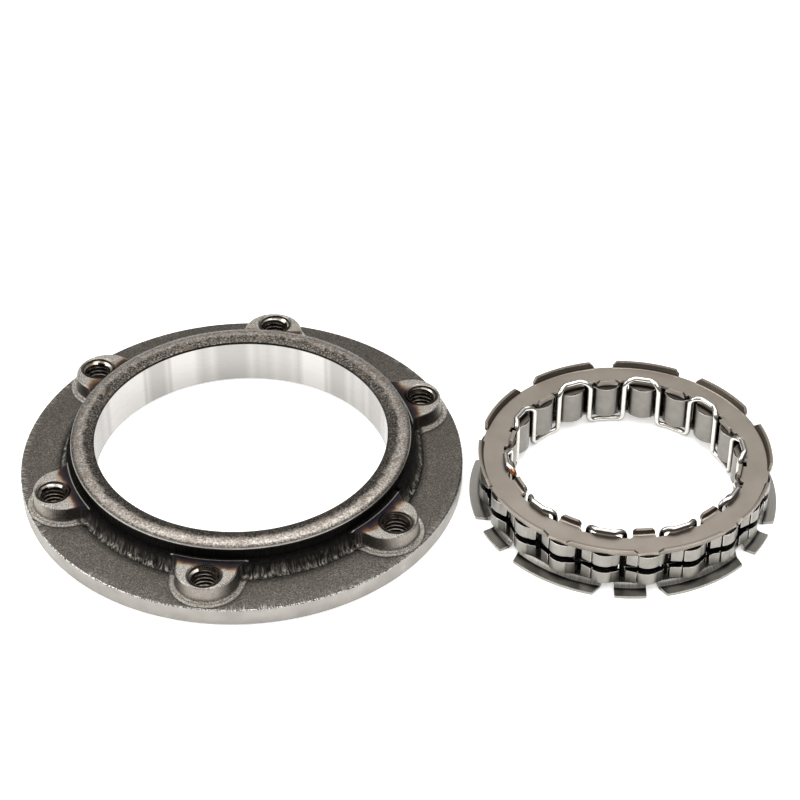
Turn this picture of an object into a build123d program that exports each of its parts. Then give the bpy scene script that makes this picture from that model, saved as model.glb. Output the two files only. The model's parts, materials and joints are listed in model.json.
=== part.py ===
from build123d import *
import os
from math import cos, radians, sin

os.makedirs("parts", exist_ok=True)

# A one-way (sprag) clutch lying on a bench in its two halves: the outer race,
# and beside it the sprag cage that drops into the race bore. Millimetres, z up,
# both halves rest on z = 0.

# ---- where the two halves lie
race_x, race_y = -42.05, 0.0
cage_x, cage_y = 60.55, -8.8
race_plane = Plane(origin=(race_x, race_y, 0))
race_section = Plane(origin=(race_x, race_y, 0), x_dir=(1, 0, 0), z_dir=(0, -1, 0))
cage_plane = Plane(origin=(cage_x, cage_y, 0))

# ---- outer race
bore_r = 40.0
flange_r = 59.7
flange_h = 5.3
lip_r = 46.0
lip_z = 12.75
wall_r = 45.1
relief_r = 46.8
relief_z = 9.4
skirt_r = 48.9
crown_r = 43.6
crown_z = 14.15
edge_z = 13.2

boss_count = 6
boss_first = 22.5
boss_at_r = 49.5
boss_base_r = 10.1
boss_top_z = 10.45
boss_draft = 5.0
hole_at_r = 52.65
hole_r = 3.4
mouth_r = 4.45


def polar(r, degrees):
    return (r * cos(radians(degrees)), r * sin(radians(degrees)))


with BuildPart() as outer_race:
    with BuildSketch(race_section):
        with BuildLine():
            Polyline((bore_r, 0.6), (bore_r + 0.6, 0), (flange_r - 0.4, 0), (flange_r, 0.4),
                     (flange_r, flange_h - 0.35), (flange_r - 0.35, flange_h), (skirt_r, flange_h))
            ThreePointArc((skirt_r, flange_h), (47.6, flange_h + 1.4), (47.1, relief_z - 0.1))
            Polyline((47.1, relief_z - 0.1), (wall_r, relief_z - 0.1), (wall_r, lip_z - 0.8),
                     (lip_r, lip_z - 0.2), (lip_r - 0.15, lip_z + 0.6))
            ThreePointArc((lip_r - 0.15, lip_z + 0.6), (44.9, crown_z - 0.22), (crown_r, crown_z))
            ThreePointArc((crown_r, crown_z), (41.9, crown_z - 0.15), (bore_r + 0.5, edge_z + 0.15))
            Polyline((bore_r + 0.5, edge_z + 0.15), (bore_r, edge_z), (bore_r, 0.6))
        make_face()
    revolve(axis=Axis((race_x, race_y, 0), (0, 0, 1)))
    # six bolt bosses, each a drafted D that runs back into the collar
    for k in range(boss_count):
        turn = boss_first + 360 / boss_count * k
        seat = race_plane * Location((0, 0, flange_h - 0.6), (0, 0, turn))
        with BuildSketch(Plane(seat)):
            with BuildLine():
                ThreePointArc((boss_at_r, -boss_base_r), (boss_at_r + boss_base_r, 0),
                              (boss_at_r, boss_base_r))
                Polyline((boss_at_r, boss_base_r), (46.8, 11.2), (45.5, 13.4), (45.5, -13.4),
                         (46.8, -11.2), (boss_at_r, -boss_base_r))
            make_face()
        extrude(amount=boss_top_z - flange_h + 0.6, taper=boss_draft)
    # turned relief at the foot of the collar wall
    with BuildSketch(race_plane.offset(relief_z)):
        Circle(relief_r)
        Circle(wall_r, mode=Mode.SUBTRACT)
    extrude(amount=lip_z - 0.8 - relief_z, mode=Mode.SUBTRACT)
    # threaded bolt holes, countersunk at the mouth
    with BuildSketch(race_plane):
        with PolarLocations(hole_at_r, boss_count, start_angle=boss_first):
            Circle(hole_r)
    extrude(amount=20, mode=Mode.SUBTRACT)
    mouths = outer_race.edges().filter_by(GeomType.CIRCLE).filter_by(
        lambda e: abs(e.center().Z - boss_top_z) < 0.02 and abs(e.radius - hole_r) < 0.01)
    chamfer(mouths, length=mouth_r - hole_r)
outer_race.part.label = "outer_race"
export_step(outer_race.part, "parts/outer_race.step")

# ---- sprag cage: two pressed end rings, a laced wire, a garter spring and the sprags
ring_t = 0.8
ring_in_r = 31.5
upper_out_r = 38.1
lower_out_r = 36.9
lower_flat_z = 1.4
upper_flat_z = 12.85
slot_r = 31.8
slot_half = 12.5
notch_r = 32.3
notch_half = 7.5

sprag_count = 20
sprag_first = 5.0
pitch = 360 / sprag_count
tab_half = 14.0
inner_tab_half = 5.4

wide_first = -1.3
wide_sides = ((30.0, 12.9), (43.0, 11.15))
small_first = 28.9
small_sides = ((30.0, 4.15), (43.0, 4.15))


def ring_blank(z_low, out_r, slot_first):
    """Flat annulus with ten shallow slots in its inner edge where the wire passes."""
    with BuildPart() as blank:
        with BuildSketch(cage_plane.offset(z_low)):
            Circle(out_r)
            Circle(ring_in_r, mode=Mode.SUBTRACT)
        extrude(amount=ring_t)
        for k in range(sprag_count // 2):
            mid = slot_first + 2 * pitch * k
            side_a, side_b = mid - slot_half, mid + slot_half
            in_a, in_b = mid - notch_half, mid + notch_half
            with BuildSketch(cage_plane.offset(z_low)):
                with BuildLine():
                    Polyline(polar(28, side_b), polar(28, side_a), polar(notch_r, side_a))
                    ThreePointArc(polar(notch_r, side_a), polar(notch_r, (side_a + in_a) / 2),
                                  polar(notch_r, in_a))
                    Line(polar(notch_r, in_a), polar(slot_r, in_a + 1))
                    ThreePointArc(polar(slot_r, in_a + 1), polar(slot_r, mid), polar(slot_r, in_b - 1))
                    Line(polar(slot_r, in_b - 1), polar(notch_r, in_b))
                    ThreePointArc(polar(notch_r, in_b), polar(notch_r, (side_b + in_b) / 2),
                                  polar(notch_r, side_b))
                    Line(polar(notch_r, side_b), polar(28, side_b))
                make_face()
            extrude(amount=ring_t, mode=Mode.SUBTRACT)
    return blank.part


def turned(points, mid, half):
    """A strip section (r, z) swept about the cage axis over 2 * half degrees."""
    start = Plane(cage_plane * Location((0, 0, 0), (0, 0, mid - half)))
    section = Plane(origin=start.origin, x_dir=start.x_dir, z_dir=-start.y_dir)
    with BuildPart() as strip:
        with BuildSketch(section):
            with BuildLine():
                Polyline(*points, close=True)
            make_face()
        revolve(axis=Axis((cage_x, cage_y, 0), (0, 0, 1)), revolution_arc=2 * half)
    return strip.part


# the strip sections of the bent tabs, as (radius, height)
outer_tab = [(37.3, 12.05), (37.7, 12.05), (38.25, 12.3), (38.65, 12.85), (39.1, 14.5),
             (38.3, 14.5), (37.93, 13.2), (37.6, 12.85), (37.3, 12.85)]
inner_tab = [(33.0, 12.05), (31.5, 12.05), (30.75, 12.25), (30.3, 12.75), (30.13, 13.4), (30.13, 14.4),
             (30.95, 14.4), (31.0, 13.5), (31.2, 13.05), (31.6, 12.85), (33.0, 12.85)]
lower_step = [(36.4, 2.2), (36.9, 2.2), (37.35, 2.08), (37.7, 1.75), (37.95, 1.35), (38.2, 0.98), (38.6, 0.78),
              (41.2, 0.78), (41.2, 0), (38.3, 0), (37.8, 0.15), (37.45, 0.55), (37.2, 0.95), (36.9, 1.3), (36.4, 1.4)]


def stepped_tab(mid, half, sides):
    """An outer tab that steps down to the bench; its two sides run nearly straight outwards."""
    seat = Plane(cage_plane * Location((0, 0, 0), (0, 0, mid)))
    (near, near_half), (far, far_half) = sides
    with BuildPart() as tab:
        add(turned(lower_step, mid, half))
        for side in (-1, 1):
            with BuildSketch(seat.offset(-1)):
                with BuildLine():
                    Polyline((near, side * near_half), (far, side * far_half), (far, side * 30),
                             (near, side * 30), close=True)
                make_face()
            extrude(amount=5, mode=Mode.SUBTRACT)
    return tab.part


with BuildPart() as upper_end_ring:
    add(ring_blank(upper_flat_z - ring_t, upper_out_r, sprag_first))
    for k in range(sprag_count // 2):
        add(turned(outer_tab, sprag_first + 2 * pitch * k, tab_half))
        add(turned(inner_tab, sprag_first + pitch * (2 * k + 1), inner_tab_half))
    rims = upper_end_ring.edges().filter_by(lambda e: e.center().Z > 14.2 and e.length < 0.95)
    outer_rims = rims.filter_by(lambda e: e.center().Z > 14.45)
    inner_rims = rims.filter_by(lambda e: e.center().Z < 14.45)
    chamfer(outer_rims, length=1.2)
    chamfer(inner_rims, length=0.8)
upper_end_ring.part.label = "upper_end_ring"
export_step(upper_end_ring.part, "parts/upper_end_ring.step")

with BuildPart() as lower_end_ring:
    add(ring_blank(lower_flat_z, lower_out_r, sprag_first + pitch))
    for k in range(6):
        add(stepped_tab(wide_first + 60 * k, 22, wide_sides))
        add(stepped_tab(small_first + 60 * k, 9, small_sides))
lower_end_ring.part.label = "lower_end_ring"
export_step(lower_end_ring.part, "parts/lower_end_ring.step")

# ---- ribbon spring: one wire, up through a gap, over a sprag, down the next gap, under
# the next sprag; each crossing leans out over the slotted edge of its end ring
strand_r = 0.75
leg_r = 30.45
strand_top_r = 31.9
strand_top_z = 14.1
strand_bottom_r = 30.8
strand_bottom_z = 0.75
rest_z = 7.05


def at(r, degrees, z):
    x, y = polar(r, degrees)
    return (cage_x + x, cage_y + y, z)


def strand(mid, r_cross, z_cross, bow):
    """One crossing with half of the leg on each side of it."""
    left, right = mid - pitch / 2, mid + pitch / 2
    corners = [at(leg_r, left, rest_z), at(leg_r, left, z_cross - bow), at(r_cross, mid - 4, z_cross),
               at(r_cross, mid + 4, z_cross), at(leg_r, right, z_cross - bow), at(leg_r, right, rest_z)]
    with BuildPart() as bend:
        with BuildLine():
            path = FilletPolyline(*corners, radius=1.5)
        with BuildSketch(Plane(origin=path @ 0, z_dir=path % 0)):
            Circle(strand_r)
        sweep()
    return bend.part


with BuildPart() as ribbon_spring:
    for k in range(sprag_count // 2):
        add(strand(sprag_first + 2 * pitch * k, strand_top_r, strand_top_z, 0.35))
        add(strand(sprag_first + pitch * (2 * k + 1), strand_bottom_r, strand_bottom_z, 0.0))
ribbon_spring.part.label = "ribbon_spring"
export_step(ribbon_spring.part, "parts/ribbon_spring.step")

# ---- garter spring that lies in the grooves of all the sprags
garter_r = 37.0
garter_wire = 0.85
mid_z = 7.05

with BuildPart() as garter_spring:
    with Locations((cage_x, cage_y, mid_z)):
        Torus(garter_r, garter_wire)
garter_spring.part.label = "garter_spring"
export_step(garter_spring.part, "parts/garter_spring.step")

# ---- the sprags: inner cam rides the hub, outer cam wedges against the race bore
sprag_low_z = 2.35
sprag_high_z = 11.75
groove_half = 1.05
groove_floor_r = 35.7


def sprag(angle):
    """A sprag at its own angle; the section is drawn as (radius, along the rim)."""
    seat = Plane(cage_plane * Location((0, 0, 0), (0, 0, angle)))
    with BuildPart() as body:
        with BuildSketch(seat.offset(sprag_low_z)):
            with BuildLine():
                Polyline((36.85, 4.65), (36.2, 4.6), (35.3, 3.2), (33.9, 3.2), (32.7, 3.9), (31.2, 3.6))
                ThreePointArc((31.2, 3.6), (29.4, 0), (31.2, -3.6))
                Polyline((31.2, -3.6), (32.7, -3.9), (33.4, -4.3), (33.8, -6.2), (34.3, -6.6), (34.9, -6.3),
                         (35.5, -5.2), (36.1, -5.0), (36.6, -5.25),
                         (37.85, -2.65), (37.3, -2.45), (37.3, -2.15), (38.05, -2.15))
                ThreePointArc((38.05, -2.15), (38.8, 0.3), (37.9, 3.0))
                ThreePointArc((37.9, 3.0), (37.45, 4.0), (36.85, 4.65))
            make_face()
        extrude(amount=sprag_high_z - sprag_low_z)
        with BuildSketch(seat.offset(mid_z - groove_half)):
            Circle(groove_floor_r + 8)
            Circle(groove_floor_r, mode=Mode.SUBTRACT)
        extrude(amount=2 * groove_half, mode=Mode.SUBTRACT)
    return body.part


for k in range(sprag_count):
    with BuildPart() as one_sprag:
        add(sprag(sprag_first + pitch * k))
    one_sprag.part.label = f"sprag_{k + 1:02d}"
    export_step(one_sprag.part, f"parts/sprag_{k + 1:02d}.step")
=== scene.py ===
import json
import math

import bmesh
import bpy
from mathutils import Matrix, Vector

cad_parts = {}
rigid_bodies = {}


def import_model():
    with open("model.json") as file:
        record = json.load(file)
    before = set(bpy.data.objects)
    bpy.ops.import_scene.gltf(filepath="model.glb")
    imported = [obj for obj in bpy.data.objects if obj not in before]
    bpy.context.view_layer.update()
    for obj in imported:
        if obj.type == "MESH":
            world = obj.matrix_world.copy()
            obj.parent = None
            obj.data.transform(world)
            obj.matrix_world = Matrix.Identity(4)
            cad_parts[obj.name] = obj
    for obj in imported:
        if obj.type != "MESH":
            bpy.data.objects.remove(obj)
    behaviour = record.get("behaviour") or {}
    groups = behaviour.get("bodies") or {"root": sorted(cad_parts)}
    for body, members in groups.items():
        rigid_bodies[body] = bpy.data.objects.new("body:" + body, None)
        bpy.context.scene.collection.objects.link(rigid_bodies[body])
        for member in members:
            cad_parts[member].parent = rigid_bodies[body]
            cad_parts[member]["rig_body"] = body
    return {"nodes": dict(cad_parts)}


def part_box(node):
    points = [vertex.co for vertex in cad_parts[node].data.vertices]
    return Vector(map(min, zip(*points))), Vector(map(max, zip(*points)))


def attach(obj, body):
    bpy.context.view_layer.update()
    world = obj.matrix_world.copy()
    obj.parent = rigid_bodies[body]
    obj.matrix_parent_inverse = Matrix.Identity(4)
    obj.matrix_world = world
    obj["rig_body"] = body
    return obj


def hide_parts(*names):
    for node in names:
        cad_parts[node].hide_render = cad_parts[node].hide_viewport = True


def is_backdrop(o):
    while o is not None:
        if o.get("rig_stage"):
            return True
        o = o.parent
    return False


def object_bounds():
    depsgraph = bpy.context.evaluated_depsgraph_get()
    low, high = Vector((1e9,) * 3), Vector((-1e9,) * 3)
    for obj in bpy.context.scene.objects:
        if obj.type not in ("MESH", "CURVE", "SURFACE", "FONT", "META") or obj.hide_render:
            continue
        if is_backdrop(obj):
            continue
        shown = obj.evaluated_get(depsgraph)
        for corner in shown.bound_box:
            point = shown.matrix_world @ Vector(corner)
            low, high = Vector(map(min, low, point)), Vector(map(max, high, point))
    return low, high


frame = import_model()
cadBox = [list(c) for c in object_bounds()]
print("frame loaded,", len(frame["nodes"]), "solids")

mm = 0.001
up = Vector((0, 0, 1))


def boxCentre(node):
    low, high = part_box(node)
    return Vector(((low.x + high.x) / 2, (low.y + high.y) / 2, 0))


raceCentre = boxCentre("outer_race")
cageCentre = boxCentre("upper_end_ring")


# ---- helpers shared by every piece

def linear(hexColour):  # sRGB hex to a linear colour
    values = [int(hexColour[i:i + 2], 16) / 255 for i in (0, 2, 4)]
    return [v / 12.92 if v <= 0.04045 else ((v + 0.055) / 1.055) ** 2.4 for v in values] + [1.0]


def fill(tree, node, sockets):  # a socket takes a link, a hex colour or a plain value
    for key, value in sockets.items():
        if isinstance(value, bpy.types.NodeSocket):
            tree.links.new(value, node.inputs[key])
        else:
            node.inputs[key].default_value = linear(value) if isinstance(value, str) else value


def addNode(tree, kind, settings=None, sockets=None, out=0):  # gives back the output that is wanted
    node = tree.nodes.new("ShaderNode" + kind)
    for key, value in (settings or {}).items():
        if key == "stops":  # a colour ramp's (place, hex colour)
            ramp = node.color_ramp
            ramp.elements.remove(ramp.elements[-1])
            ramp.elements[0].position = value[0][0]
            ramp.elements[0].color = linear(value[0][1])
            for place, colour in value[1:]:
                ramp.elements.new(place).color = linear(colour)
        else:
            setattr(node, key, value)
    fill(tree, node, sockets or {})
    return node.outputs[out]


def ringPoint(centre, r, degrees, z):  # millimetres round a vertical axis, given back in metres
    a = math.radians(degrees)
    return centre + Vector((r * math.cos(a), r * math.sin(a), z)) * mm


def newPiece(name, bm, body, material, smooth=35):
    mesh = bpy.data.meshes.new(name)
    bm.to_mesh(mesh)
    bm.free()
    piece = bpy.data.objects.new(name, mesh)
    bpy.context.scene.collection.objects.link(piece)
    for m in material if isinstance(material, list) else [material]:
        mesh.materials.append(m)
    mesh.shade_smooth()
    mesh.set_sharp_from_angle(angle=math.radians(smooth))
    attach(piece, body)
    return piece


def closeUp(bm, distance=0.0005):  # millimetres
    bmesh.ops.remove_doubles(bm, verts=bm.verts, dist=distance * mm)
    bmesh.ops.recalc_face_normals(bm, faces=bm.faces)


def boolean(bm, tool, operation):  # bm and tool are closed shells; bm is given back changed
    objects = []
    for part in (bm, tool):
        mesh = bpy.data.meshes.new("shaping")
        part.to_mesh(mesh)
        part.free()
        ob = bpy.data.objects.new("shaping", mesh)
        bpy.context.scene.collection.objects.link(ob)
        objects.append(ob)
    cut = objects[0].modifiers.new("cut", "BOOLEAN")
    cut.object = objects[1]
    cut.operation = operation
    cut.solver = "EXACT"
    cut.use_self = True
    evaluated = objects[0].evaluated_get(bpy.context.evaluated_depsgraph_get())
    made = bmesh.new()
    made.from_mesh(evaluated.to_mesh())
    evaluated.to_mesh_clear()
    for ob in objects:
        mesh = ob.data
        bpy.data.objects.remove(ob)
        bpy.data.meshes.remove(mesh)
    return made


def spunRing(profile, centre, steps, rounded=None):  # profile is a closed list of (radius, height)
    bm = bmesh.new()
    corners = [bm.verts.new(centre + Vector((r, 0, z)) * mm) for r, z in profile]
    for a, b in zip(corners, corners[1:] + corners[:1]):
        bm.edges.new((a, b))
    for radius, segments, indices in rounded or []:
        bmesh.ops.bevel(bm, geom=[corners[i] for i in indices], offset=radius * mm, offset_type="OFFSET",
                        segments=segments, profile=0.5, affect="VERTICES", material=-1)
    bmesh.ops.spin(bm, geom=bm.verts[:] + bm.edges[:], cent=centre, axis=up, angle=2 * math.pi,
                   steps=steps, use_merge=True)
    closeUp(bm)
    # a side of the profile that lies on the axis is left over as a loose edge
    bmesh.ops.delete(bm, geom=[e for e in bm.edges if e.is_wire], context="EDGES")
    return bm


# ---- camera: a long lens looking down on both halves
camera = {"lens": 110.3, "sensor": 36, "elevation": 39.25, "distance": 691.23, "target": (0.66, 30.62, 0)}
rise = math.radians(camera["elevation"])
back = Vector((0, -math.cos(rise), math.sin(rise)))
cameraData = bpy.data.cameras.new("camera")
cameraData.lens = camera["lens"]
cameraData.sensor_width = camera["sensor"]
cameraData.clip_start, cameraData.clip_end = 0.05, 20
cameraObject = bpy.data.objects.new("camera", cameraData)
cameraObject.location = (Vector(camera["target"]) + back * camera["distance"]) * mm
cameraObject.rotation_mode = "QUATERNION"
cameraObject.rotation_quaternion = (-back).to_track_quat("-Z", "Y")
bpy.context.scene.collection.objects.link(cameraObject)
bpy.context.scene.camera = cameraObject
print("camera placed")

# ---- studio: pale table, pale room, three soft boxes
studio = {"room": [(0.0, "DCDCDA"), (0.045, "C9C9C8"), (0.09, "5B5B5A"), (0.32, "6B6B6A"), (0.52, "9A9A99"),
                   (0.72, "D6D6D5"), (0.9, "FFFFFF")],
          "roomStrength": 1.15, "glow": 0.5, "table": "F6F6F5",
          "lights": [("overhead", (0.1, 0.35, 1.5), (1.8, 1.2), 16),
                     ("left", (-1.3, -0.3, 0.8), (1.0, 1.0), 8),
                     ("front", (0.4, -0.9, 1.3), (1.4, 0.6), 5)]}
world = bpy.data.worlds.new("room")
world.use_nodes = True
tree = world.node_tree
skyward = addNode(tree, "SeparateXYZ", None, {0: addNode(tree, "TexCoord", out="Generated")}, "Z")
room = addNode(tree, "ValToRGB", {"stops": studio["room"]}, {"Fac": skyward})
fill(tree, tree.nodes["Background"], {"Color": room, "Strength": studio["roomStrength"]})
bpy.context.scene.world = world
bpy.context.scene.view_settings.view_transform = "Standard"
for name, place, size, power in studio["lights"]:
    lightData = bpy.data.lights.new(name, "AREA")
    lightData.shape = "RECTANGLE"
    lightData.size, lightData.size_y = size
    lightData.energy = power
    light = bpy.data.objects.new(name, lightData)
    light.location = place
    light.rotation_mode = "QUATERNION"
    light.rotation_quaternion = (Vector((0, 0, 0)) - Vector(place)).to_track_quat("-Z", "Y")
    bpy.context.scene.collection.objects.link(light)
tableMaterial = bpy.data.materials.new("mattWhiteTable")
tableMaterial.use_nodes = True
tree = tableMaterial.node_tree
fill(tree, tree.nodes["Principled BSDF"],
     {"Base Color": studio["table"], "Roughness": 0.9,
      "Emission Color": studio["table"], "Emission Strength": studio["glow"]})
bm = bmesh.new()
bmesh.ops.create_grid(bm, x_segments=1, y_segments=1, size=3)
bmesh.ops.translate(bm, verts=bm.verts, vec=(0, 0, -0.05 * mm))
tableMesh = bpy.data.meshes.new("table")
bm.to_mesh(tableMesh)
bm.free()
table = bpy.data.objects.new("table", tableMesh)
tableMesh.materials.append(tableMaterial)
bpy.context.scene.collection.objects.link(table)
table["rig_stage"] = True
print("studio lit")


# ---- materials: patterns are set out from a piece's own axis, and their sizes are in millimetres

def newMaterial(name):
    material = bpy.data.materials.new(name)
    material.use_nodes = True
    return material, material.node_tree, material.node_tree.nodes["Principled BSDF"]


def centred(tree, centre):  # object coordinates moved to a ring's own axis, and what follows from them
    moved = addNode(tree, "Mapping", {"vector_type": "POINT"},
                    {"Location": -centre, "Vector": addNode(tree, "TexCoord", out="Object")})
    flat = addNode(tree, "VectorMath", {"operation": "MULTIPLY"}, {0: moved, 1: (1, 1, 0)})
    radius = addNode(tree, "VectorMath", {"operation": "LENGTH"}, {0: flat}, "Value")
    around = addNode(tree, "VectorMath", {"operation": "NORMALIZE"}, {0: flat})
    axes = addNode(tree, "SeparateXYZ", None, {0: moved}).node.outputs
    return {"vector": moved, "radius": radius, "around": around,
            "height": axes["Z"], "x": axes["X"], "y": axes["Y"]}


# where a finish lies: each limit is a mask, or (value, from, to) that runs from 0 to 1 unless two more
# numbers say otherwise, and all the limits are multiplied
def zone(tree, *limits):
    mask = None
    for limit in limits:
        if isinstance(limit, tuple):
            value, low, high, least, most = limit if len(limit) == 5 else limit + (0.0, 1.0)
            limit = addNode(tree, "MapRange", None, {0: value, 1: low, 2: high, 3: least, 4: most})
        if mask is None:
            mask = limit
        else:
            mask = addNode(tree, "Math", {"operation": "MULTIPLY"}, {0: mask, 1: limit})
    return mask


def coated(tree, base, *coats):  # each coat is (mask, colour), laid over what is below it
    for mask, colour in coats:
        base = addNode(tree, "Mix", {"data_type": "RGBA"}, {0: mask, 6: base, 7: colour}, 2)
    return base


def outwardLines(tree, at, perRadian, length, twist=0.0):  # noise drawn out along the radius
    spokes = addNode(tree, "VectorMath", {"operation": "SCALE"}, {0: at["around"], "Scale": perRadian})
    outward = addNode(tree, "Math", {"operation": "MULTIPLY"}, {0: at["radius"], 1: 1 / (length * mm)})
    lift = addNode(tree, "CombineXYZ", None, {"Z": outward})
    place = addNode(tree, "VectorMath", {"operation": "ADD"}, {0: spokes, 1: lift})
    return addNode(tree, "TexNoise", None,
                   {"Vector": place, "Scale": 1.0, "Detail": 3, "Roughness": 0.65, "Distortion": twist})


# drop-forged steel shot-blasted to a fine dark grain; pinched and burnt black where the die closed
def forgedSteel():
    material, tree, shader = newMaterial("forgedSteel")
    at = centred(tree, raceCentre)
    r, z = at["radius"], at["height"]
    grain = addNode(tree, "TexNoise", None,
                    {"Vector": at["vector"], "Scale": 1 / (0.32 * mm), "Detail": 4, "Roughness": 0.65})
    cloud = addNode(tree, "TexNoise", None,
                    {"Vector": at["vector"], "Scale": 1 / (8 * mm), "Detail": 3, "Roughness": 0.6})
    patch = addNode(tree, "TexNoise", None, {"Vector": at["vector"], "Scale": 1 / (26 * mm), "Detail": 1})
    scratch = outwardLines(tree, at, 130, 3.5)
    wrinkle = outwardLines(tree, at, 42, 1.6, 1.6)
    blasted = addNode(tree, "ValToRGB", {"stops": [(0.34, "35312D"), (0.5, "57524C"), (0.62, "736D66"),
                                                   (0.74, "9A948C")]}, {"Fac": grain})
    # scratches left by the deburring wheel reach in from the rim, in some places only
    scratched = zone(tree, (r, 57.6 * mm, 59.4 * mm), (scratch, 0.52, 0.6), (patch, 0.46, 0.58),
                     (z, 5.5 * mm, 5.4 * mm))
    # folded skirt under the collar: dark, with pale rubbed wrinkle backs
    skirt = zone(tree, (r, 49.15 * mm, 48.85 * mm), (z, 5.2 * mm, 5.4 * mm))
    folds = addNode(tree, "ValToRGB", {"stops": [(0.34, "141210"), (0.45, "3B3834"), (0.54, "847E76"),
                                                 (0.64, "C9C4BB")]}, {"Fac": wrinkle})
    # the crease at the skirt's foot is darkened, and the relief groove under the lip is painted black: a
    # painted shadow in the undercut
    crease = zone(tree, (r, 50.6 * mm, 49.1 * mm), (z, 5.8 * mm, 5.35 * mm), (grain, 0.7, 0.3, 0.55, 1.0))
    paintedReliefShadow = zone(tree, (r, 49 * mm, 46.9 * mm), (z, 7.4 * mm, 8.9 * mm))
    # boss walls were never rubbed and stay burnt; the darkening towards the collar is painted shade in the
    # hollow there
    burntWallAndShade = zone(tree, (z, 6.0 * mm, 6.9 * mm), (r, 55.0 * mm, 51.5 * mm), (cloud, 0.3, 0.6, 0.95, 0.6))
    shot = zone(tree, (z, 6.2 * mm, 7.2 * mm), (r, 54.5 * mm, 57.0 * mm), (grain, 0.3, 0.6, 0.5, 0.9))
    # the bead round each boss's foot was rubbed pale
    bead = zone(tree, (z, 5.5 * mm, 5.7 * mm), (z, 6.4 * mm, 6.05 * mm), (r, 49.6 * mm, 50.2 * mm))
    pale = addNode(tree, "ValToRGB", {"stops": [(0.36, "57524C"), (0.5, "A29C93"), (0.62, "D0CBC3")]},
                   {"Fac": grain})
    base = coated(tree, blasted, (zone(tree, (cloud, 0.35, 0.65, 0.0, 0.35)), "4C4843"),
                  (scratched, "ABA59D"), (skirt, folds), (crease, "1C1A18"), (paintedReliefShadow, "0C0B0B"),
                  (burntWallAndShade, "1D1A18"), (shot, "A8A199"), (bead, pale))
    fine = addNode(tree, "Bump", None, {"Strength": 0.8, "Distance": 0.09 * mm, "Height": grain})
    folded = addNode(tree, "Bump", None, {"Strength": 1.0, "Distance": 0.9 * mm,
                                          "Height": zone(tree, wrinkle, skirt), "Normal": fine})
    fill(tree, shader, {"Base Color": base, "Metallic": 0.8, "Normal": folded,
                        "Roughness": zone(tree, (grain, 0.35, 0.7, 0.6, 0.42))})
    return material


# steel turned on a lathe: bright, with fine lines round the axis
def turnedSteel():
    material, tree, shader = newMaterial("turnedSteel")
    at = centred(tree, raceCentre)
    lines = addNode(tree, "CombineXYZ", None, {"X": at["radius"], "Y": at["height"]})
    turning = addNode(tree, "TexNoise", None, {"Vector": lines, "Scale": 1 / (0.25 * mm), "Detail": 3})
    burr = addNode(tree, "TexNoise", None, {"Vector": at["vector"], "Scale": 1 / (0.35 * mm), "Detail": 3})
    cloud = addNode(tree, "TexNoise", None, {"Vector": at["vector"], "Scale": 1 / (6 * mm), "Detail": 4})
    bright = addNode(tree, "ValToRGB", {"stops": [(0.3, "8D8984"), (0.6, "9C9893"), (0.8, "ADA9A5")]},
                     {"Fac": cloud})
    # a ragged bright burr along the top edge, dark pits between
    ragged = addNode(tree, "ValToRGB", {"stops": [(0.42, "3A3733"), (0.5, "A8A39B"), (0.56, "F2F0EC")]},
                     {"Fac": burr})
    edge = zone(tree, (at["height"], 4.75 * mm, 5.1 * mm))
    fill(tree, shader, {"Base Color": coated(tree, bright, (edge, ragged)), "Metallic": 1.0,
                        "Roughness": zone(tree, (turning, 0.3, 0.7, 0.3, 0.42)),
                        "Normal": addNode(tree, "Bump", None,
                                          {"Strength": 0.25, "Distance": 0.02 * mm, "Height": turning})})
    return material


# steel ground inside the bore: near mirror, a soft haze along the grinding direction
def groundSteel():
    material, tree, shader = newMaterial("groundSteel")
    at = centred(tree, raceCentre)
    lines = addNode(tree, "CombineXYZ", None, {"X": at["radius"], "Y": at["height"]})
    haze = addNode(tree, "TexNoise", None, {"Vector": lines, "Scale": 1 / (0.3 * mm), "Detail": 3})
    # broad strokes left by the honing stones
    strokes = addNode(tree, "TexNoise", None, {"Vector": at["around"], "Scale": 1 / 0.32, "Detail": 0})
    base = addNode(tree, "ValToRGB", {"stops": [(0.4, "A5A29F"), (0.47, "B6B3B0"), (0.52, "ABA8A5"),
                                                (0.58, "C2BFBC")]}, {"Fac": strokes})
    fill(tree, shader, {"Base Color": base, "Metallic": 1.0,
                        "Roughness": zone(tree, (haze, 0.3, 0.7, 0.2, 0.28))})
    return material


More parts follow.
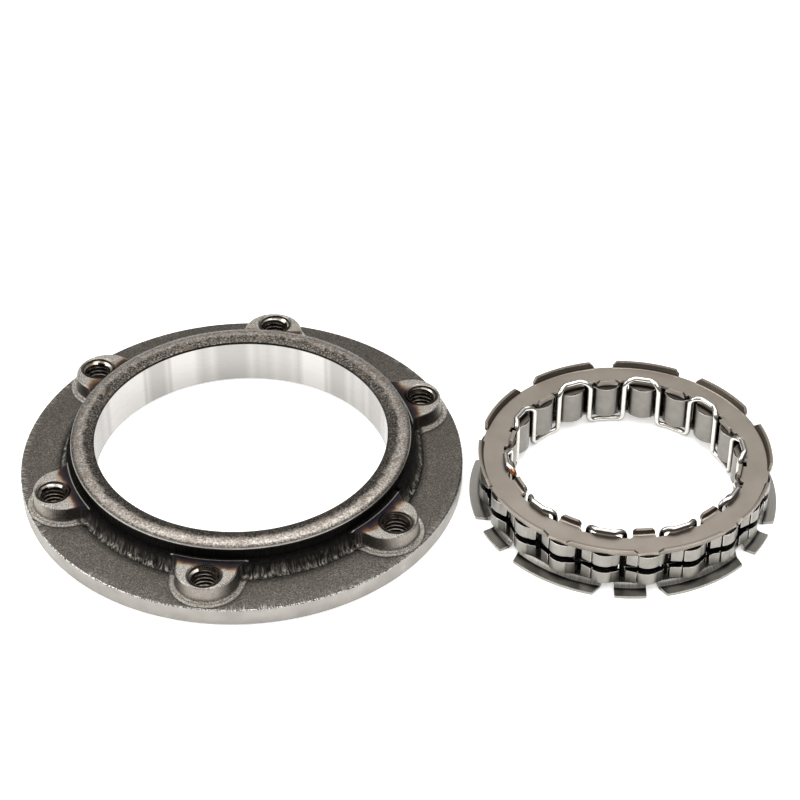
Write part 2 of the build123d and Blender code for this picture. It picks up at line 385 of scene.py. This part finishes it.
# crown of the collar, peened, then rubbed: silver on the crest, scale left in the pits and towards the bore
def hammeredCrown():
    material, tree, shader = newMaterial("hammeredCrown")
    at = centred(tree, raceCentre)
    r = at["radius"]
    pits = addNode(tree, "TexNoise", None,
                   {"Vector": at["vector"], "Scale": 1 / (0.5 * mm), "Detail": 4, "Roughness": 0.7})
    cloud = addNode(tree, "TexNoise", None,
                    {"Vector": at["vector"], "Scale": 1 / (3.5 * mm), "Detail": 3, "Roughness": 0.6})
    rubbedAndShaded = addNode(tree, "ValToRGB", {"stops": [(0.34, "5E5851"), (0.45, "857E76"), (0.55, "A39C94"),
                                                  (0.68, "CBC6BF")]}, {"Fac": pits})
    scaled = addNode(tree, "ValToRGB", {"stops": [(0.38, "1C1A18"), (0.48, "3A3733"), (0.58, "625D56"),
                                                  (0.7, "A19B93")]}, {"Fac": pits})
    # the scale's edge wanders in and out by half a millimetre or so
    wander = zone(tree, (cloud, 0.3, 0.7, -0.7 * mm, 0.7 * mm))
    reach = addNode(tree, "Math", {"operation": "ADD"}, {0: r, 1: wander})
    # painted highlight: a thin bright line along the crown's outer edge
    edge = zone(tree, (r, 45.5 * mm, 45.65 * mm), (pits, 0.6, 0.4, 0.35, 0.95))
    base = coated(tree, scaled, (zone(tree, (reach, 41.7 * mm, 42.9 * mm)), rubbedAndShaded),
                  (zone(tree, (cloud, 0.52, 0.66, 0.0, 0.45)), "6A5A4C"),
                  (zone(tree, (r, 44.7 * mm, 45.2 * mm, 0.0, 0.75)), scaled), (edge, "D8D4CD"),
                  # painted shadow: the outer wall under the lip, below 13.3 mm, is painted near black; a thin
                  # near-black line also runs round the inner edge
                  (zone(tree, (at["height"], 13.3 * mm, 13.1 * mm)), "0E0D0C"),
                  (zone(tree, (r, 39.62 * mm, 39.5 * mm)), "0B0A0A"))
    fill(tree, shader, {"Base Color": base, "Metallic": 0.9,
                        "Roughness": zone(tree, (pits, 0.35, 0.65, 0.5, 0.32)),
                        "Normal": addNode(tree, "Bump", None,
                                          {"Strength": 0.75, "Distance": 0.12 * mm, "Height": pits})})
    return material


# boss tops, milled flat before hardening: silver grain, tempered brown then blue beside the collar
def milledTop():
    material, tree, shader = newMaterial("milledTop")
    at = centred(tree, raceCentre)
    r = at["radius"]
    grain = addNode(tree, "TexNoise", None,
                    {"Vector": at["vector"], "Scale": 1 / (0.3 * mm), "Detail": 4, "Roughness": 0.7})
    cloud = addNode(tree, "TexNoise", None, {"Vector": at["vector"], "Scale": 1 / (4 * mm), "Detail": 3})
    wander = zone(tree, (cloud, 0.3, 0.7, -0.9 * mm, 0.9 * mm))
    reach = addNode(tree, "Math", {"operation": "ADD"}, {0: r, 1: wander})
    silver = addNode(tree, "ValToRGB", {"stops": [(0.36, "6B665F"), (0.5, "A29C94"), (0.64, "D2CEC7")]},
                     {"Fac": grain})
    temper = addNode(tree, "ValToRGB", {"stops": [(0.0, "17151A"), (0.35, "28242A"), (0.55, "3B302C"),
                                                  (0.7, "6E5442"), (0.84, "9A8672"), (1.0, "ABA49C")]},
                     {"Fac": zone(tree, (reach, 46.6 * mm, 51.0 * mm))})
    burr = zone(tree, (r, 46.6 * mm, 46.75 * mm), (r, 47.15 * mm, 47.0 * mm))
    base = coated(tree, temper, (zone(tree, (reach, 50.0 * mm, 51.2 * mm)), silver),
                  (zone(tree, (grain, 0.45, 0.3, 0.0, 0.5)), "1A1817"), (burr, "8E8982"))
    fill(tree, shader, {"Base Color": base, "Metallic": 0.95, "Roughness": 0.4,
                        "Normal": addNode(tree, "Bump", None,
                                          {"Strength": 0.7, "Distance": 0.06 * mm, "Height": grain})})
    return material


# threads cut with a tap: the crests wiped bright with straw stains, the roots left full of black oil
def tappedSteel(name, stops, depthShade):
    material, tree, shader = newMaterial(name)
    at = centred(tree, raceCentre)
    stain = addNode(tree, "TexNoise", None, {"Vector": at["vector"], "Scale": 1 / (1.6 * mm), "Detail": 3})
    base = coated(tree, addNode(tree, "ValToRGB", {"stops": stops}, {"Fac": stain}),
                  # painted shade: darker towards the bottom of the hole, as far as the third argument allows
                  (zone(tree, (at["height"], 9.2 * mm, 4.5 * mm, 0.0, depthShade)), "0D0B0A"),
                  (zone(tree, (at["height"], 9.7 * mm, 10.0 * mm)), "5E5850"))  # the mouth's cone
    fill(tree, shader, {"Base Color": base, "Metallic": 1.0,
                        "Roughness": zone(tree, (at["height"], 9.7 * mm, 10.0 * mm, 0.3, 0.5))})
    return material


# ---- outer race: forged collar and flange, six bolt bosses, tapped holes
race = {
    "steps": 256,
    "collar": [(40.0, 0.5), (40.5, 0), (59.35, 0), (59.7, 0.35), (59.7, 5.0), (59.4, 5.3), (48.95, 5.3),
               (48.3, 5.85), (47.7, 6.8), (47.3, 8.0), (47.1, 9.4), (45.1, 9.4), (45.1, 12.05), (45.6, 12.5),
               (45.75, 12.8), (45.68, 13.4), (45.45, 13.72), (44.9, 13.98), (44.1, 14.25), (43.2, 14.37),
               (42.2, 14.33), (41.2, 14.17), (40.3, 13.98), (39.75, 13.84), (39.47, 13.66), (39.4, 13.45),
               (39.42, 13.2), (39.6, 12.95), (40.0, 12.75)],
    "bossOutline": [(59.6, -9.95), (59.6, 9.95), (47.9, 9.95), (46.22, 13.11), (41.5, 14.63),
                    (41.5, -14.63), (46.22, -13.11), (47.9, -9.95)],
    # how far out the boss's side stands at each height above the flange: bead, hollow foot, wall, shoulder
    "bossSide": [(1.85, 0), (1.72, 0.42), (1.45, 0.68), (1.12, 0.72), (0.85, 0.6), (0.6, 0.62), (0.36, 0.86),
                 (0.18, 1.25), (0.08, 1.9), (0.0, 4.4), (-0.05, 4.75), (-0.18, 5.0), (-0.42, 5.15)],
    "bossFirst": 22.5, "bossCount": 6, "bossTop": 10.45, "flange": 5.3, "reliefOut": 46.8, "reliefFloor": 9.4,
    "holeAt": 52.65, "mouth": 4.8, "threadMajor": 4.0, "threadMinor": 3.4, "threadPitch": 1.25,
}


def bossSolid():  # the outline is let out to the bead, then stepped in and up along the side
    bm = bmesh.new()
    corners = [bm.verts.new((x * mm, y * mm, 3.5 * mm)) for x, y in race["bossOutline"]]
    bm.faces.new(corners)
    bmesh.ops.bevel(bm, geom=corners[:2], offset=9.8 * mm, offset_type="OFFSET", segments=16, profile=0.5,
                    affect="VERTICES", material=-1)
    inner = sorted(bm.verts, key=lambda v: abs(v.co.x - 47.9 * mm))[:2]
    bmesh.ops.bevel(bm, geom=inner, offset=2.2 * mm, offset_type="OFFSET", segments=6, profile=0.5,
                    affect="VERTICES", material=-1)
    top = bm.faces[:][0]
    if top.normal.z < 0:
        bmesh.ops.reverse_faces(bm, faces=[top])
    bmesh.ops.inset_region(bm, faces=[top], thickness=race["bossSide"][0][0] * mm, depth=0, use_outset=True,
                           use_even_offset=True, use_boundary=True)
    bmesh.ops.dissolve_faces(bm, faces=bm.faces[:])
    raised = bmesh.ops.extrude_face_region(bm, geom=[bm.faces[:][0]])
    top = next(f for f in raised["geom"] if isinstance(f, bmesh.types.BMFace))
    bmesh.ops.translate(bm, verts=top.verts, vec=(0, 0, (race["flange"] - 3.5) * mm))
    for (outA, upA), (outB, upB) in zip(race["bossSide"], race["bossSide"][1:]):
        bmesh.ops.inset_region(bm, faces=[top], thickness=(outA - outB) * mm, depth=(upB - upA) * mm,
                               use_even_offset=True, use_boundary=True)
    closeUp(bm, 0.001)
    return bm


def ringOfCopies(make, centre, first, count):
    bm = bmesh.new()
    for k in range(count):
        one = make()
        turn = Matrix.Translation(centre) @ Matrix.Rotation(math.radians(first + 360 * k / count), 4, "Z")
        bmesh.ops.transform(one, matrix=turn, verts=one.verts)
        mesh = bpy.data.meshes.new("copy")
        one.to_mesh(mesh)
        one.free()
        bm.from_mesh(mesh)
        bpy.data.meshes.remove(mesh)
    return bm


def holeCutter():  # tapping size opened to the thread's outer radius, countersunk at the mouth
    r, top = race["threadMajor"], race["bossTop"] - race["mouth"] + race["threadMajor"]
    return spunRing([(0, -1), (r, -1), (r, top), (r + 1.5, top + 1.5), (0, top + 1.5)],
                    Vector((race["holeAt"] * mm, 0, 0)), 48)


def threadSleeve():  # one pitch of the ridge, spun as a helix, closed by an outer wall inside the metal
    r, crest, pitch = race["threadMajor"], race["threadMinor"], race["threadPitch"]
    centre = Vector((race["holeAt"] * mm, 0, 0))
    bm = bmesh.new()
    path = [(r, 0), (r, 0.16), (crest, 0.55), (crest, 0.86), (r, 1.25)]
    corners = [bm.verts.new(centre + Vector((x, 0, z - 1.35)) * mm) for x, z in path]
    for a, b in zip(corners, corners[1:]):
        bm.edges.new((a, b))
    turns, steps = 11, 40
    bmesh.ops.spin(bm, geom=bm.verts[:] + bm.edges[:], cent=centre, axis=up, dvec=(0, 0, pitch / steps * mm),
                   angle=2 * math.pi * turns, steps=steps * turns)
    bmesh.ops.remove_doubles(bm, verts=bm.verts, dist=0.002 * mm)
    for height, side in ((0.03, -1), (race["bossTop"] - 0.02, 1)):
        bmesh.ops.bisect_plane(bm, geom=bm.verts[:] + bm.edges[:] + bm.faces[:], plane_co=(0, 0, height * mm),
                               plane_no=(0, 0, side), clear_outer=True, dist=0.0001 * mm)
    coneFoot = race["bossTop"] - race["mouth"] + crest
    for v in bm.verts:  # countersink: the ridge is cut back to the mouth's cone
        out = Vector((v.co.x - centre.x, v.co.y, 0))
        cone = (crest + max(0, v.co.z / mm - coneFoot)) * mm
        if out.length < cone:
            v.co += out.normalized() * (min(cone, (r + 0.02) * mm) - out.length)
    rims = [e for e in bm.edges if e.is_boundary]
    lipped = bmesh.ops.extrude_edge_only(bm, edges=rims)
    for v in (g for g in lipped["geom"] if isinstance(g, bmesh.types.BMVert)):
        out = Vector((v.co.x - centre.x, v.co.y, 0))
        v.co += out.normalized() * ((r + 0.06) * mm - out.length)
    ends = [e for e in bm.edges if e.is_boundary]
    bmesh.ops.bridge_loops(bm, edges=ends)
    closeUp(bm)
    return bm


bosses = ringOfCopies(bossSolid, raceCentre, race["bossFirst"], race["bossCount"])
trim = spunRing([(0, 1), (59.36, 1), (59.36, 20), (0, 20)], raceCentre, race["steps"])
bosses = boolean(bosses, trim, "INTERSECT")
floor, wide = race["reliefFloor"], race["reliefOut"]
relief = spunRing([(30, floor), (wide, floor), (wide, 20), (30, 20)], raceCentre, race["steps"])
bosses = boolean(bosses, relief, "DIFFERENCE")
collar = spunRing(race["collar"], raceCentre, race["steps"], rounded=[(0.12, 2, [0, 1, 2, 3, 4, 5])])
body = boolean(collar, bosses, "UNION")
body = boolean(body, ringOfCopies(holeCutter, raceCentre, race["bossFirst"], race["bossCount"]), "DIFFERENCE")
bmesh.ops.dissolve_degenerate(body, dist=0.001 * mm, edges=body.edges)
bmesh.ops.delete(body, geom=[e for e in body.edges if e.is_wire], context="EDGES")
finishes = [forgedSteel(), turnedSteel(), groundSteel(), hammeredCrown(), milledTop()]
outerRace = newPiece("outerRace", body, "race", finishes, smooth=32)
for face in outerRace.data.polygons:  # which finish each face carries
    place = face.center - raceCentre
    r, z = Vector((place.x, place.y)).length / mm, place.z / mm
    if r < 40.25 and z < 13:
        face.material_index = 2  # bore
    elif (r > 59.2 and z < 5.2 and face.normal.z < 0.8) or z < 0.3:
        face.material_index = 1  # rim and underside
    elif r < 46.3 and z > 12.1:
        face.material_index = 3  # crown
    elif z > 9.9 and r > 46.5:
        face.material_index = 4  # boss tops
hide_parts("outer_race")
sleeves = ringOfCopies(threadSleeve, raceCentre, race["bossFirst"], race["bossCount"])
finishes = [tappedSteel("tappedCrest", [(0.38, "A8906F"), (0.46, "CDC6BC"), (0.6, "F0EDE8")], 0.2),
            tappedSteel("oilyRoot", [(0.4, "14110F"), (0.6, "2A2521")], 0.9)]
threads = newPiece("boltThreads", sleeves, "race", finishes, smooth=30)
holes = [ringPoint(raceCentre, race["holeAt"], race["bossFirst"] + 360 / race["bossCount"] * k, 0)
         for k in range(race["bossCount"])]
for face in threads.data.polygons:
    place = Vector((face.center.x, face.center.y, 0))
    depth = min((place - hole).length for hole in holes) / mm - race["threadMinor"]
    mouth = face.center.z / mm > race["bossTop"] - race["mouth"] + race["threadMinor"] + 0.15
    face.material_index = 0 if depth < 0.08 or mouth else 1
print("outer race:", len(outerRace.data.polygons), "faces; threads:", len(threads.data.polygons))


# ---- cage pieces taken from the solids: merged, flat faces joined up, edges tumbled round

def tumbled(node, name, materials, edge, sawnEnds=(), highlightFrom=0):  # all in millimetres
    bm = bmesh.new()
    bm.from_mesh(frame["nodes"][node].data)
    bmesh.ops.remove_doubles(bm, verts=bm.verts, dist=0.0005 * mm)
    bmesh.ops.dissolve_degenerate(bm, dist=0.0005 * mm, edges=bm.edges)
    bmesh.ops.dissolve_limit(bm, angle_limit=math.radians(1.0), verts=bm.verts, edges=bm.edges)
    for face in bm.faces:
        height = face.calc_center_median().z / mm
        if abs(face.normal.z) > 0.9 and any(abs(height - end) < 0.1 for end in sawnEnds):
            face.material_index = 2
    crisp = [e for e in bm.edges if len(e.link_faces) == 2 and e.calc_face_angle(0) > math.radians(28)]
    rounded = bmesh.ops.bevel(bm, geom=crisp, offset=edge * mm, offset_type="OFFSET", segments=2, profile=0.5,
                              affect="EDGES", clamp_overlap=True, material=-1)
    # the rounded edge faces take the second finish, the polished edge with its painted highlight, outside the
    # given radius
    for face in rounded["faces"]:
        out = (face.calc_center_median() - cageCentre) * Vector((1, 1, 0))
        face.material_index = 1 if out.length / mm > highlightFrom else 0
    piece = newPiece(name, bm, frame["nodes"][node]["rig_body"], materials)
    level = piece.modifiers.new("weightedNormals", "WEIGHTED_NORMAL")  # keeps the flats looking flat
    level.keep_sharp = True
    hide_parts(node)
    return piece


# spring steel strip, blanked, pressed and tumbled with the wire in it: a brown-grey satin
def tumbledStrip():
    material, tree, shader = newMaterial("tumbledStrip")
    at = centred(tree, cageCentre)
    r, z = at["radius"], at["height"]
    satin = addNode(tree, "TexNoise", None, {"Vector": at["vector"], "Scale": 1 / (0.16 * mm), "Detail": 3})
    cloud = addNode(tree, "TexNoise", None, {"Vector": at["vector"], "Scale": 1 / (9 * mm), "Detail": 2})
    brown = addNode(tree, "ValToRGB", {"stops": [(0.3, "958C82"), (0.7, "A2998F")]}, {"Fac": cloud})
    # painted shade: the strip is painted dark up the inside of the outer tabs and up the back of the hooks
    leaning = addNode(tree, "Math", {"operation": "MULTIPLY_ADD"}, {0: z, 1: -0.28, 2: 0.28 * 12.85 * mm})
    upright = addNode(tree, "Math", {"operation": "ADD"}, {0: r, 1: leaning})
    paintedTabShade = zone(tree, (upright, 38.4 * mm, 38.2 * mm), (r, 37.5 * mm, 37.8 * mm),
                  (z, 12.95 * mm, 13.05 * mm), (satin, 0.3, 0.7, 0.9, 0.7))
    rubbedAndShaded = addNode(tree, "ValToRGB", {"stops": [(0.0, "332D29"), (0.18, "4A433D"), (0.3, "6A635A"),
                                                  (1.0, "7B756B")]},
                     {"Fac": zone(tree, (z, 13.0 * mm, 14.5 * mm))})
    # painted shade on the back of the hooks; the sheared top edges are left clean of it
    paintedHookShade = zone(tree, (r, 31.3 * mm, 31.15 * mm), (z, 13.1 * mm, 13.3 * mm), (z, 14.37 * mm, 14.3 * mm),
                (r, 30.2 * mm, 30.8 * mm, 0.5, 0.9))
    base = coated(tree, brown, (paintedTabShade, rubbedAndShaded), (paintedHookShade, "463F39"))
    fill(tree, shader, {"Base Color": base, "Metallic": 1.0,
                        "Roughness": zone(tree, (satin, 0.3, 0.7, 0.34, 0.44)),
                        "Normal": addNode(tree, "Bump", None,
                                          {"Strength": 0.3, "Distance": 0.008 * mm, "Height": satin})})
    return material


# the lower ring's strip: its step brushed outwards by the press, painted shade along the fold into the tabs,
# cut edges bright
def brushedStrip():
    material, tree, shader = newMaterial("brushedStrip")
    at = centred(tree, cageCentre)
    r = at["radius"]
    brushing = outwardLines(tree, at, 260, 5)
    grain = addNode(tree, "TexNoise", None, {"Vector": at["vector"], "Scale": 1 / (0.2 * mm), "Detail": 3})
    step = addNode(tree, "ValToRGB", {"stops": [(0.32, "74716B"), (0.5, "918E88"), (0.68, "B9B6B0")]},
                   {"Fac": brushing})
    tab = addNode(tree, "ValToRGB", {"stops": [(0.35, "8F8C86"), (0.65, "A4A19B")]}, {"Fac": grain})
    # painted shade: darker as the step turns down towards the fold, and a dark band along the fold itself
    paintedFoldShade = zone(tree, (r, 38.15 * mm, 38.3 * mm), (r, 39.3 * mm, 38.45 * mm))
    base = coated(tree, step, (zone(tree, (r, 37.7 * mm, 38.3 * mm, 0.0, 0.3)), "3B3936"),
                  (zone(tree, (r, 38.3 * mm, 38.5 * mm)), tab), (paintedFoldShade, "2B2927"),
                  (zone(tree, (r, 41.12 * mm, 41.17 * mm)), "9D9A94"))
    fill(tree, shader, {"Base Color": base, "Metallic": 1.0,
                        "Roughness": zone(tree, (brushing, 0.3, 0.7, 0.3, 0.42)),
                        "Normal": addNode(tree, "Bump", None,
                                          {"Strength": 0.3, "Distance": 0.02 * mm, "Height": brushing})})
    return material


# edges rolled over and polished by tumbling, glossy, and painted lighter than the faces beside them: a
# painted highlight for the thin bright line they catch
def polishedEdgeHighlight(name, colour):
    material, tree, shader = newMaterial(name)
    at = centred(tree, cageCentre)
    edgeSheen = addNode(tree, "TexNoise", None, {"Vector": at["vector"], "Scale": 1 / (0.7 * mm), "Detail": 3})
    base = addNode(tree, "ValToRGB", {"stops": [(0.35, colour), (0.65, "DAD7D1")]}, {"Fac": edgeSheen})
    fill(tree, shader, {"Base Color": base, "Metallic": 1.0, "Roughness": 0.24})
    return material


# sprag ends as cut from the bar: painted shade, near black and dull as in the shade under the rings, ground
# grey over the inner cam
def paintedShadeEnd():
    material, tree, shader = newMaterial("paintedShadeEnd")
    at = centred(tree, cageCentre)
    endMottle = addNode(tree, "TexNoise", None, {"Vector": at["vector"], "Scale": 1 / (0.5 * mm), "Detail": 3})
    black = addNode(tree, "ValToRGB", {"stops": [(0.3, "1B1918"), (0.7, "34312E")]}, {"Fac": endMottle})
    ground = zone(tree, (at["radius"], 29.85 * mm, 30.05 * mm), (at["radius"], 31.3 * mm, 30.9 * mm))
    base = coated(tree, black, (ground, "7E766D"))
    fill(tree, shader, {"Base Color": base, "Metallic": 0.7, "Roughness": 0.5})
    return material


# bearing steel drawn as a bar, hardened and barrel finished: satin grey, faint lines along the bar
def drawnBearingSteel():
    material, tree, shader = newMaterial("drawnBearingSteel")
    at = centred(tree, cageCentre)
    r, z = at["radius"], at["height"]
    upwards = addNode(tree, "Mapping", None, {"Vector": at["vector"], "Scale": (1.0, 1.0, 0.08)})
    drawing = addNode(tree, "TexNoise", None, {"Vector": upwards, "Scale": 1 / (0.12 * mm), "Detail": 2})
    cloud = addNode(tree, "TexNoise", None, {"Vector": at["vector"], "Scale": 1 / (2.5 * mm), "Detail": 3})
    satin = addNode(tree, "ValToRGB", {"stops": [(0.3, "8A8781"), (0.7, "98958F")]}, {"Fac": cloud})
    # painted shade: the groove that holds the garter spring is painted dark
    paintedGrooveShade = zone(tree, (z, 5.95 * mm, 6.05 * mm), (z, 8.15 * mm, 8.05 * mm), (r, 35.3 * mm, 35.5 * mm))
    # painted shade: the waist between the cams is painted near black, as the shade between neighbouring
    # sprags
    paintedWaistShade = zone(tree, (r, 31.2 * mm, 31.6 * mm), (r, 36.7 * mm, 36.3 * mm))
    # distance along the circle from the nearest sprag's middle
    turn = addNode(tree, "Math", {"operation": "ARCTAN2"}, {0: at["y"], 1: at["x"]})
    count = addNode(tree, "Math", {"operation": "MULTIPLY_ADD"},
                    {0: turn, 1: 1 / sprag["pitch"], 2: 0.5 - sprag["first"] / sprag["pitch"]})
    part = addNode(tree, "Math", {"operation": "FRACT"}, {0: count})
    swing = addNode(tree, "Math", {"operation": "MULTIPLY_ADD"},
                    {0: part, 1: sprag["pitch"], 2: -sprag["pitch"] / 2})
    along = zone(tree, swing, r)
    outside = zone(tree, (r, 36.4 * mm, 36.8 * mm))
    # painted reflection: the heel side of the outer cam is darker, more so on the lower block, for the dark
    # parts it mirrors
    paintedHeelReflection = zone(tree, (along, 2.5 * mm, 2.75 * mm), outside, (z, 6.5 * mm, 6.0 * mm, 0.12, 0.6))
    slot = zone(tree, (along, -2.6 * mm, -2.52 * mm), (along, -2.1 * mm, -2.18 * mm), outside)
    base = coated(tree, satin, (paintedGrooveShade, "161513"),
                  (zone(tree, (r, 33.5 * mm, 31.5 * mm, 0.0, 0.3)), "4E4B47"),
                  (paintedWaistShade, "121110"), (paintedHeelReflection, "2E2C29"), (slot, "161513"))
    fill(tree, shader, {"Base Color": base, "Metallic": 1.0,
                        "Roughness": zone(tree, (drawing, 0.3, 0.7, 0.3, 0.36)),
                        "Normal": addNode(tree, "Bump", None,
                                          {"Strength": 0.3, "Distance": 0.008 * mm, "Height": drawing})})
    return material


# stainless spring wire, drawn bright; a copper-coloured spot at one place on the wire
def stainlessWire():
    material, tree, shader = newMaterial("stainlessWire")
    at = centred(tree, cageCentre)
    haze = addNode(tree, "TexNoise", None, {"Vector": at["vector"], "Scale": 1 / (1.2 * mm), "Detail": 3})
    bright = addNode(tree, "ValToRGB", {"stops": [(0.3, "CFCBC5"), (0.7, "E2DFD9")]}, {"Fac": haze})
    # painted light and shade: faces turned up and inwards take the bright colour, faces turned down and
    # outwards the darker grey
    facing = addNode(tree, "TexCoord", out="Normal")
    outward = addNode(tree, "VectorMath", {"operation": "DOT_PRODUCT"}, {0: facing, 1: at["around"]}, "Value")
    upward = zone(tree, (addNode(tree, "SeparateXYZ", None, {0: facing}, "Z"), -1, 1, -0.85, 0.85))
    paintedLitSide = addNode(tree, "Math", {"operation": "MULTIPLY_ADD"}, {0: outward, 1: -0.5, 2: upward})
    apart = addNode(tree, "VectorMath", {"operation": "DISTANCE"},
                    {0: at["vector"], 1: ringPoint(Vector(), *wire["joint"])}, "Value")
    base = coated(tree, "6E6963", (zone(tree, (paintedLitSide, 0.0, 0.4)), bright),
                  (zone(tree, (apart, 1.5 * mm, 0.9 * mm)), "B97A50"))
    fill(tree, shader, {"Base Color": base, "Metallic": 1.0,
                        "Roughness": zone(tree, (haze, 0.3, 0.7, 0.1, 0.17))})
    return material


# music wire, oil tempered: nearly black, slightly glossy
def oilTemperedWire():
    material, tree, shader = newMaterial("oilTemperedWire")
    at = centred(tree, cageCentre)
    film = addNode(tree, "TexNoise", None, {"Vector": at["vector"], "Scale": 1 / (0.8 * mm), "Detail": 3})
    base = addNode(tree, "ValToRGB", {"stops": [(0.3, "1B1B1C"), (0.7, "3A3937")]}, {"Fac": film})
    fill(tree, shader, {"Base Color": base, "Metallic": 1.0, "Roughness": 0.35})
    return material


endRings = {"edge": 0.09, "highlightFrom": 38.7}  # the lower ring's bends inside that radius get neither the polish nor the painted edge highlight
sprag = {"ends": (2.35, 11.75), "edge": 0.18, "first": math.radians(5), "pitch": math.radians(18)}
tumbled("upper_end_ring", "upperEndRing",
        [tumbledStrip(), polishedEdgeHighlight("rolledEdgeHighlight", "A59C92")], endRings["edge"])
tumbled("lower_end_ring", "lowerEndRing",
        [brushedStrip(), polishedEdgeHighlight("brushedEdgeHighlight", "8A8781")], endRings["edge"],
        highlightFrom=endRings["highlightFrom"])
spragFinishes = [drawnBearingSteel(), polishedEdgeHighlight("spragEdgeHighlight", "C9C6C0"), paintedShadeEnd()]
for name in sorted(n for n in frame["nodes"] if n.startswith("sprag_")):
    tumbled(name, name.replace("sprag_", "sprag"), spragFinishes, sprag["edge"], sprag["ends"])
print("rings and sprags dressed")

# ---- laced wire: one closed wire, over a sprag, down the gap, under the next sprag and up again
wire = {"radius": 0.75, "legR": 30.45, "over": (31.9, 14.1, 0.35, 2.1), "under": (30.8, 0.75, 0.0, 1.6),
        "first": 5.0, "count": 20, "half": 4.0, "sides": 14, "bends": 6, "joint": (31.3, 193.5, 13.4)}


def wireCorners():  # (place, bend radius) of every corner of the route
    corners = []
    for k in range(wire["count"]):
        mid, half = wire["first"] + 360 / wire["count"] * k, 180 / wire["count"]
        r, z, bow, bend = wire["under" if k % 2 else "over"]
        corners += [(ringPoint(cageCentre, wire["legR"], mid - half, z - bow), bend),
                    (ringPoint(cageCentre, r, mid - wire["half"], z), 1.6),
                    (ringPoint(cageCentre, r, mid + wire["half"], z), 1.6),
                    (ringPoint(cageCentre, wire["legR"], mid + half, z - bow), bend)]
    return corners


def wireRoute():  # every corner turned into a round bend that touches both of its sides
    corners, route = wireCorners(), []
    neighbours = zip(corners[-1:] + corners, corners, corners[1:] + corners[:1])
    for (before, _), (corner, bend), (after, _) in neighbours:
        a, b = (before - corner).normalized(), (after - corner).normalized()
        half = a.angle(b) / 2
        reach = bend * mm / math.tan(half)
        heart = corner + (a + b).normalized() * bend * mm / math.sin(half)
        begin, finish = corner + a * reach - heart, corner + b * reach - heart
        for k in range(wire["bends"] + 1):
            route.append(heart + begin.slerp(finish, k / wire["bends"]) * bend * mm)
    return route


def wireSection(place, heading):  # a frame across the wire, with one side always facing outwards
    out = (place - cageCentre) * Vector((1, 1, 0))
    out = (out - heading * out.dot(heading)).normalized()
    turned = Matrix((out, heading.cross(out), heading)).transposed().to_4x4()
    return Matrix.Translation(place) @ turned


route = wireRoute()
headings = [(b - a).normalized() for a, b in zip(route[-1:] + route, route[1:] + route[:1])]
sections = [wireSection(place, heading) for place, heading in zip(route, headings)]
bm = bmesh.new()
first = bmesh.ops.create_circle(bm, radius=wire["radius"] * mm, segments=wire["sides"], matrix=sections[0])
firstEdges = edges = bm.edges[:]
for before, after in zip(sections, sections[1:]):
    grown = bmesh.ops.extrude_edge_only(bm, edges=edges)["geom"]
    edges = [g for g in grown if isinstance(g, bmesh.types.BMEdge)]
    verts = [g for g in grown if isinstance(g, bmesh.types.BMVert)]
    bmesh.ops.transform(bm, matrix=after @ before.inverted(), verts=verts)
bmesh.ops.bridge_loops(bm, edges=firstEdges + edges)
closeUp(bm, 0.0001)
lacedWire = newPiece("lacedWire", bm, "cage", stainlessWire(), smooth=60)
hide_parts("ribbon_spring")
print("laced wire:", len(lacedWire.data.polygons), "faces")

# ---- garter spring: a close-wound coil closed into a ring
garter = {"radius": 37.0, "coil": 0.85, "wire": 0.17, "turns": 660, "low": "garter_spring"}
low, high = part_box(garter["low"])
heart = cageCentre + up * (low.z + high.z) / 2
start = heart + Vector((garter["radius"] * mm, 0, 0))
bm = bmesh.new()
turn = bmesh.ops.create_circle(bm, radius=garter["wire"] * mm, segments=5,
                               matrix=Matrix.Translation(start + up * (garter["coil"] - garter["wire"]) * mm)
                               @ Matrix.Rotation(math.radians(90), 4, "Y"))
bmesh.ops.rotate(bm, verts=bm.verts, cent=start, matrix=Matrix.Rotation(math.radians(90), 3, "Z"))
bmesh.ops.spin(bm, geom=bm.verts[:] + bm.edges[:], cent=start, axis=(0, 1, 0), angle=2 * math.pi, steps=9,
               use_merge=True)
closeUp(bm, 0.0001)
bmesh.ops.spin(bm, geom=bm.verts[:] + bm.edges[:] + bm.faces[:], cent=heart, axis=up,
               angle=2 * math.pi * (garter["turns"] - 1) / garter["turns"], steps=garter["turns"] - 1,
               use_duplicate=True)
coil = newPiece("garterCoil", bm, "cage", oilTemperedWire(), smooth=80)
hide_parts("garter_spring")
print("garter spring:", len(coil.data.polygons), "faces")

size = {"cad": cadBox, "visual": [list(c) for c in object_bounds()]}
